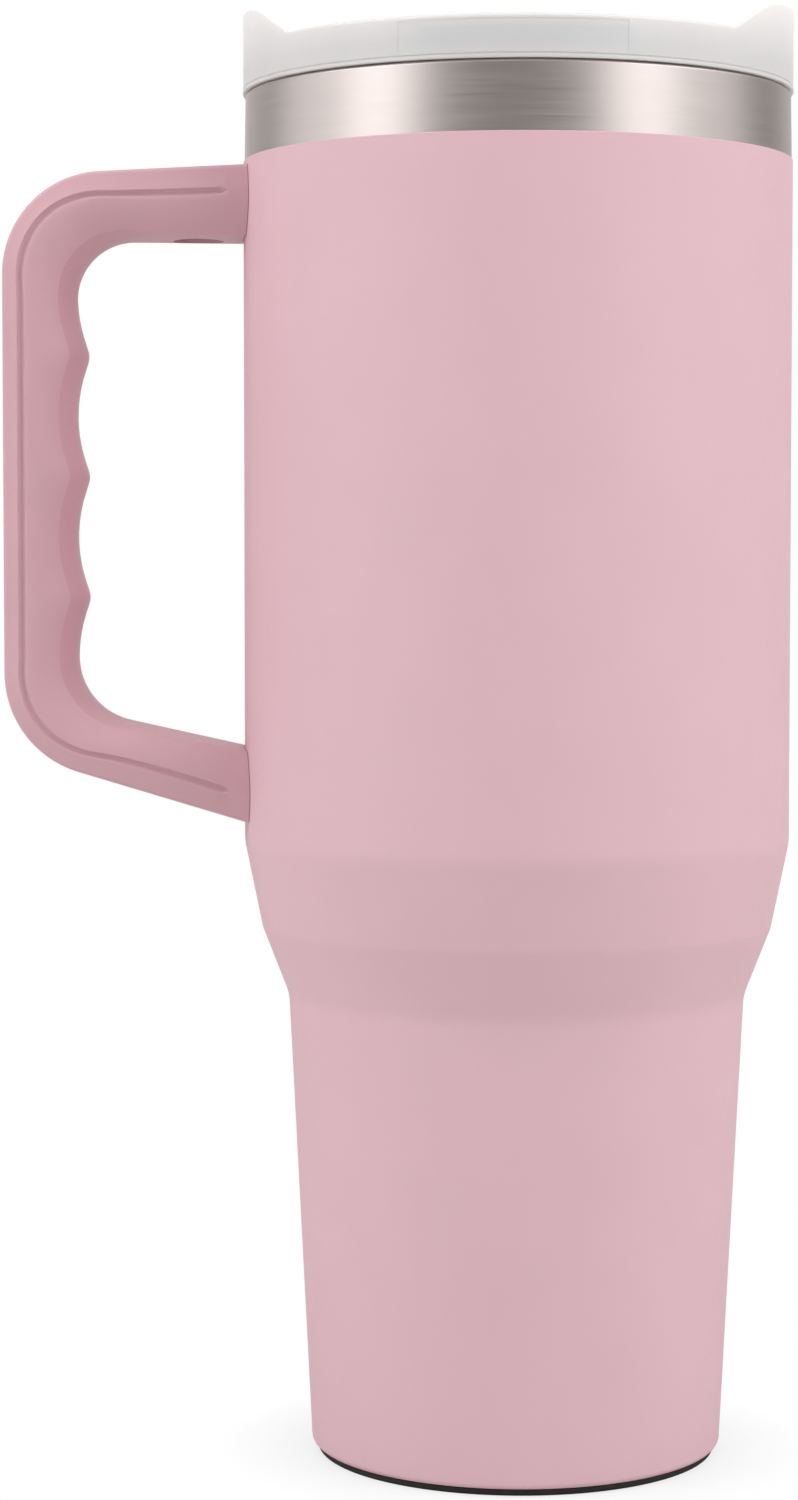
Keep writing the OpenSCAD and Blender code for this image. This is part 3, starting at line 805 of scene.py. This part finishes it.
def arm_sockets():
    """Cutters for the brackets' plates and tongues, and for the recesses that the screws go up into."""
    gap = 0.2 * MM
    plate_x = -52.2 * MM
    tongue_half = 1.25 * MM
    tongue_heights = {"upper": 229.4 * MM, "lower": 126.2 * MM}
    screw_x = -58.3 * MM
    seat_drop = 3.2 * MM
    recess_r = 4.6 * MM
    recess_drop = 12.0 * MM
    hole_r = 2.2 * MM
    hole_rise = 4.0 * MM
    cutters = []
    for name, tongue_z in tongue_heights.items():
        low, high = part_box(name + "_bracket")
        seat_z = tongue_z - seat_drop
        cutters += [
            block(name + "_plate_space", (plate_x - gap, low.y - gap, low.z - gap),
                  (-ARM_END, high.y + gap, high.z + gap)),
            block(name + "_tongue_space", (low.x - gap, low.y - gap, tongue_z - tongue_half - gap),
                  (plate_x + gap, high.y + gap, tongue_z + tongue_half + gap)),
            post(name + "_recess", screw_x, 0, recess_r, tongue_z - recess_drop, seat_z),
            post(name + "_screw_hole", screw_x, 0, hole_r, seat_z - CUT_PAST, tongue_z + hole_rise),
        ]
    return cutters


# Lid ------------------------------------------------------------------------

LID_TURN = math.radians(-4.4)
LID_STEPS = 480
LID_R = CUP_R
LIP_OUT_R = CUP_R + 0.1 * MM
LID_LOW_Z = RIM_Z + 0.1 * MM
LIP_TOP_Z = LID_LOW_Z + 0.6 * MM
LID_RIM_Z = 256.3 * MM
EAR_Z = LID_HIGH.z
RIM_IN_R = 47.4 * MM
DECK_LOW_Z = 250.3 * MM
DECK_TOP_Z = 252.2 * MM
PLUG_R = 44.8 * MM
PLUG_IN_R = 42.8 * MM
SEAL_GROOVE_R = 44.0 * MM
HUB_R = 4.0 * MM

# The rim's top along X: level up to the foot of the ear, then a ramp that flattens at the knee.
EAR_FOOT_X = 38.9 * MM
EAR_KNEE_X = 45.75 * MM
EAR_KNEE_Z = EAR_Z - 0.85 * MM
EAR_FILLET = 8.0 * MM
EAR_STEPS = 16
EAR_LINE = rounded([(EAR_FOOT_X, LID_RIM_Z, 0), (EAR_KNEE_X, EAR_KNEE_Z, EAR_FILLET), (LID_R, EAR_Z, 0)],
                   EAR_STEPS)

# The stop lug of the cover runs in a slot of the deck.
LUG_PATH_R = 11.0 * MM
LUG_R = 1.4 * MM
LUG_GAP = 0.3 * MM
LUG_DEPTH = 0.9 * MM


def ear_top(x):
    """Height of the rim's top at a distance x from the lid's middle plane."""
    for (x0, z0), (x1, z1) in zip(EAR_LINE, EAR_LINE[1:]):
        if x0 <= x <= x1:
            return z0 + (z1 - z0) * (x - x0) / (x1 - x0)
    return EAR_Z if x > LID_R else LID_RIM_Z


def lid_profile():
    """Outline of the deck, the plug with its seal groove, the lip and the rim wall."""
    seal_low, seal_high = (corner.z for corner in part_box("lid_seal"))
    hub_hole_r = HUB_R + 0.05 * MM
    hub_edge = 0.2 * MM
    plug_root = 1.0 * MM
    plug_edge = 0.5 * MM
    lead_in_r = PLUG_R - 0.6 * MM
    lead_in_z = LID_LOW.z + 1.5 * MM
    groove_edge = 0.15 * MM
    lip_root = 0.6 * MM
    lip_low_edge = 0.2 * MM
    lip_top_edge = 0.1 * MM
    relief_r = LID_R - 0.12 * MM
    relief_top_z = LIP_TOP_Z + 0.25 * MM
    relief_edge = 0.05 * MM
    rim_edge = 0.6 * MM
    deck_root = 0.8 * MM
    return rounded_ring([
        (hub_hole_r, DECK_LOW_Z, hub_edge), (PLUG_IN_R, DECK_LOW_Z, plug_root),
        (PLUG_IN_R, LID_LOW.z, plug_edge), (lead_in_r, LID_LOW.z, plug_edge), (PLUG_R, lead_in_z, plug_edge),
        (PLUG_R, seal_low, groove_edge), (SEAL_GROOVE_R, seal_low, 0),
        (SEAL_GROOVE_R, seal_high, 0), (PLUG_R, seal_high, groove_edge),
        (PLUG_R, LID_LOW_Z, lip_root), (LIP_OUT_R, LID_LOW_Z, lip_low_edge),
        (LIP_OUT_R, LIP_TOP_Z, lip_top_edge),
        (relief_r, LIP_TOP_Z, 0), (relief_r, relief_top_z, 0), (LID_R, relief_top_z, relief_edge),
        (LID_R, LID_RIM_Z, rim_edge), (RIM_IN_R, LID_RIM_Z, rim_edge),
        (RIM_IN_R, DECK_TOP_Z, deck_root), (hub_hole_r, DECK_TOP_Z, hub_edge),
    ])


def make_lid():
    """Rim, ears, deck and plug in one moulding."""
    middle_z = (DECK_TOP_Z + LID_RIM_Z) / 2

    def lifted(r, z, angle):
        """The upper part of the rim wall follows the ears."""
        if z < middle_z:
            return z
        return z + ear_top(abs(r * math.cos(angle))) - LID_RIM_Z

    lid = lathe("frosted_lid", lid_profile(), LID_STEPS, lifted)
    combine(lid, lid_cutters(), "DIFFERENCE")
    turn_mesh(lid, LID_TURN)
    dress(lid, "lid_body", LID_PLASTIC)


def rim_panels():
    """Cutters for the shallow panels at the front and the back of the rim."""
    depth = 0.07 * MM
    margin = 0.9 * MM
    half = math.radians(23)
    steps = 92
    first = math.radians(1.5) - math.pi / 2
    return [sector("panel", LID_R - depth, LID_R + CUT_PAST, LIP_TOP_Z + margin, LID_RIM_Z - margin,
                   middle - half, middle + half, steps)
            for middle in (first, first + math.pi)]


def drink_slot(low, high):
    """Cutter for the slot with round ends that the drink comes through."""
    slot_y = -33.0 * MM
    end_r = 3.5 * MM
    end_x = 9.0 * MM - end_r
    steps = 16
    outline = []
    for side in (1, -1):
        turns = [side * (math.pi * k / steps - math.pi / 2) for k in range(steps + 1)]
        outline += [(side * (end_x + end_r * math.cos(a)), end_r * math.sin(a)) for a in turns]
    slot = prism("drink_slot", outline, low, high)
    # Stands the prism up, so that its outline lies in the deck's plane.
    slot.data.transform(Matrix(((1, 0, 0, 0), (0, 0, 1, slot_y), (0, 1, 0, 0), (0, 0, 0, 1))))
    mark_sharp(slot.data)
    return slot


def lug_slot(high):
    """Cutters for the blind slot that the cover's lug runs in, with round ends."""
    floor_z = DECK_TOP_Z - LUG_DEPTH - LUG_GAP
    slot_half = LUG_R + LUG_GAP
    stop = math.pi / 2 + LUG_GAP / LUG_PATH_R
    cutters = [sector("lug_slot", LUG_PATH_R - slot_half, LUG_PATH_R + slot_half, floor_z, high,
                      math.pi - stop, math.pi + stop)]
    for angle in (math.pi - stop, math.pi + stop):
        x = LUG_PATH_R * math.cos(angle)
        y = LUG_PATH_R * math.sin(angle)
        cutters.append(post("lug_stop", x, y, slot_half, floor_z, high))
    return cutters


def lid_cutters():
    """Panels, holes and slots of the lid, before it is turned."""
    straw_y = 30.0 * MM
    straw_r = 4.75 * MM
    vent_x = -24.0 * MM
    vent_r = 1.0 * MM
    vent_steps = 32
    low = DECK_LOW_Z - CUT_PAST
    high = DECK_TOP_Z + CUT_PAST
    return rim_panels() + [
        drink_slot(low, high),
        post("straw_hole", 0, straw_y, straw_r, low, high),
        post("vent_hole", vent_x, 0, vent_r, low, high, vent_steps),
    ] + lug_slot(high)


def make_seal():
    """Silicone ring with two rounded lips."""
    low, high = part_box("lid_seal")
    lip_r = high.x
    waist_r = PLUG_R + 0.1 * MM
    arc_steps = 5
    # One lip: (radius, distance from the seal's end, fillet radius). The other is its mirror image.
    lip = [(SEAL_GROOVE_R, 0, 0.1 * MM), (PLUG_R, 0, 0.2 * MM), (lip_r, 1.0 * MM, 0.3 * MM),
           (lip_r, 1.6 * MM, 0.25 * MM), (waist_r, 2.1 * MM, 0.3 * MM)]
    path = [(r, low.z + rise, edge) for r, rise, edge in lip]
    path += [(r, high.z - rise, edge) for r, rise, edge in reversed(lip)]
    seal = lathe("silicone_seal", rounded_ring(path, arc_steps))
    dress(seal, "lid_seal", SILICONE)


# Rotating cover -------------------------------------------------------------

DISC_LOW_Z = GASKET_HIGH.z
DISC_TOP_Z = DISC_LOW_Z + 2.2 * MM


def cover_disc():
    """Disc with its hub and a raised edge."""
    disc_r = 44.0 * MM
    hub_edge = 0.3 * MM
    low_edge = 0.3 * MM
    top_edge = 0.6 * MM
    step_edge = 0.3 * MM
    step_out_r = disc_r - 2.5 * MM
    step_in_r = disc_r - 3.0 * MM
    panel_z = DISC_TOP_Z - 0.3 * MM
    return lathe("drink_cover", rounded([
        (0, COVER_LOW.z, 0), (HUB_R, COVER_LOW.z, hub_edge), (HUB_R, DISC_LOW_Z, 0),
        (disc_r, DISC_LOW_Z, low_edge), (disc_r, DISC_TOP_Z, top_edge), (step_out_r, DISC_TOP_Z, step_edge),
        (step_in_r, panel_z, step_edge), (0, panel_z, 0)]))


def cover_fin():
    """Grip tab that slopes down at both ends, with soft edges."""
    half_w = 3.0 * MM
    foot_z = DISC_LOW_Z + 0.8 * MM
    front_x = 14.0 * MM
    back_x = -36.0 * MM
    slope = 7.0 * MM
    top_fillet = 3.0 * MM
    top_z = COVER_HIGH.z
    edge_w = 0.8 * MM
    edge_angle = 50
    edge_steps = 4
    outline = rounded([(front_x, foot_z, 0), (front_x, DISC_TOP_Z, 0), (front_x - slope, top_z, top_fillet),
                       (back_x + slope, top_z, top_fillet), (back_x, DISC_TOP_Z, 0), (back_x, foot_z, 0)])
    return soften(prism("cover_fin", outline, -half_w, half_w), edge_w, edge_angle, edge_steps)


def stop_lug():
    """Round lug under the cover that runs in the deck's slot."""
    root_z = DISC_LOW_Z + 1.0 * MM
    steps = 48
    return post("stop_lug", -LUG_PATH_R, 0, LUG_R, DECK_TOP_Z - LUG_DEPTH, root_z, steps)


def cover_window():
    """Cutter for the opening that lets the drink or the straw through."""
    inner_r = 23.5 * MM
    outer_r = 38.5 * MM
    half = math.radians(19)
    return sector("window", inner_r, outer_r, DISC_LOW_Z - CUT_PAST, DISC_TOP_Z + CUT_PAST, -half, half)


def pivot_hole():
    """Cutter for the blind hole that the pivot screw goes up into."""
    hole_r = 1.65 * MM
    end_z = 258.0 * MM
    return post("pivot_hole", 0, 0, hole_r, COVER_LOW.z - CUT_PAST, end_z)


def make_cover():
    """Cover disc with its grip tab, hub and stop lug in one moulding."""
    cover = cover_disc()
    combine(cover, [cover_fin(), stop_lug()], "UNION")
    combine(cover, [cover_window(), pivot_hole()], "DIFFERENCE")
    turn_mesh(cover, LID_TURN)
    dress(cover, "cover", COVER_PLASTIC)


make_coat()
make_shell()
make_liner()
make_liner_base()
make_foot_pad()
make_handle()
make_lid()
make_seal()
make_cover()

# CAD nodes that are kept, because they are hidden or have no detail to add.
KEPT_NODES = {
    "shell_base": SATIN,
    "vacuum_seal": GLASS,
    "getter": GETTER,
    "pad_adhesive": FILM,
    "upper_bracket": SATIN,
    "lower_bracket": SATIN,
    "handle_screws": SCREW,
    "cover_gasket": SILICONE,
    "pivot_washer": SCREW,
    "pivot_screw": SCREW,
}
for kept, material in KEPT_NODES.items():
    paint_node(kept, material)


# Studio ---------------------------------------------------------------------


def make_floor():
    """White table under the object.

    The camera sees it as plain white, but for a faint shadow close round the foot. Other rays see the table.
    """
    table_r = 6.0
    table_steps = 96
    near_r = 0.036
    near_white = 0.75
    far_r = 0.055
    far_white = 1.0
    bm = bmesh.new()
    bmesh.ops.create_circle(bm, cap_ends=True, segments=table_steps, radius=table_r)
    floor = new_object("floor", bm)
    look = Look("white_table", (0.68, 0.68, 0.68), 0.8)
    look.bump(look.noise(300.0), 0.01 * MM, 0.2)
    floor.data.materials.append(look.material)
    glow = look.node("ShaderNodeEmission")
    glow.inputs["Color"].default_value = (1, 1, 1, 1)
    distance = look.node("ShaderNodeVectorMath", operation="LENGTH")
    look.link(look.place, distance.inputs[0])
    white = look.ramp(distance.outputs["Value"], near_white, far_white, near_r, far_r)
    seen = look.node("ShaderNodeLightPath").outputs["Is Camera Ray"]
    mix = look.node("ShaderNodeMixShader")
    look.link(look.math("MULTIPLY", white, seen), mix.inputs["Fac"])
    look.link(look.shader.outputs[0], mix.inputs[1])
    look.link(glow.outputs[0], mix.inputs[2])
    look.link(mix.outputs[0], look.tree.nodes["Material Output"].inputs["Surface"])


def make_world(brightness):
    """Even studio light; the backdrop that the camera sees is plain white."""
    world = bpy.data.worlds.new("studio")
    world.use_nodes = True
    nodes, links = world.node_tree.nodes, world.node_tree.links
    fill = nodes["Background"]
    fill.inputs["Color"].default_value = (1, 0.985, 0.97, 1)
    fill.inputs["Strength"].default_value = brightness
    backdrop = nodes.new("ShaderNodeBackground")
    backdrop.inputs["Color"].default_value = (1, 1, 1, 1)
    mix = nodes.new("ShaderNodeMixShader")
    links.new(nodes.new("ShaderNodeLightPath").outputs["Is Camera Ray"], mix.inputs["Fac"])
    links.new(fill.outputs[0], mix.inputs[1])
    links.new(backdrop.outputs[0], mix.inputs[2])
    links.new(mix.outputs[0], nodes["World Output"].inputs["Surface"])
    bpy.context.scene.world = world


def softbox(name, azimuth, distance, height, size, power):
    """Area light that faces the cup; azimuth is in degrees from the front, positive towards +X."""
    aim = Vector((0, 0, 0.15))
    light = bpy.data.lights.new(name, "AREA")
    light.shape = "RECTANGLE"
    light.size, light.size_y = size
    light.energy = power
    obj = bpy.data.objects.new(name, light)
    angle = math.radians(azimuth)
    obj.location = (distance * math.sin(angle), -distance * math.cos(angle), height)
    obj.rotation_euler = (aim - obj.location).to_track_quat("-Z", "Y").to_euler()
    bpy.context.scene.collection.objects.link(obj)


def make_camera():
    """Long lens in front of the object's middle, tipped down slightly."""
    camera = bpy.data.cameras.new("photo_camera")
    camera.sensor_fit = "VERTICAL"
    camera.sensor_height = 36.0
    camera.lens = 83.01
    camera.clip_start = 0.01
    tip = math.radians(3.081)
    obj = bpy.data.objects.new("photo_camera", camera)
    obj.location = (-0.02164, -0.63663, 0.16370)
    obj.rotation_euler = (math.pi / 2 - tip, 0, 0)
    bpy.context.scene.collection.objects.link(obj)
    bpy.context.scene.camera = obj


make_camera()
make_floor()
make_world(brightness=0.22)

# Tall boxes round the cup: name, azimuth, width and power.
BOX_DISTANCE = 1.1
BOX_Z = 0.38
BOX_H = 1.4
for name, azimuth, width, power in (
        ("left_box", -60, 0.62, 5.4),
        ("right_box", 50.5, 0.62, 5.1),
        ("left_side", -98, 0.62, 2.2),
        ("right_side", 88, 0.55, 1.8),
        ("left_back", -152, 0.7, 1.4),
        ("right_back", 152, 0.7, 1.5),
        ("back_box", 180, 0.7, 2.6)):
    softbox(name, azimuth, BOX_DISTANCE, BOX_Z, (width, BOX_H), power)

# Square boxes above it: name, azimuth, distance, height and power.
HIGH_BOX_W = 0.9
for name, azimuth, distance, height, power in (
        ("left_high", -72, 0.9, 1.25, 5.8),
        ("right_high", 72, 0.9, 1.25, 8.2),
        ("top_box", 0, 0.5, 1.3, 3.7)):
    softbox(name, azimuth, distance, height, (HIGH_BOX_W, HIGH_BOX_W), power)

bpy.context.scene.view_settings.view_transform = "Standard"
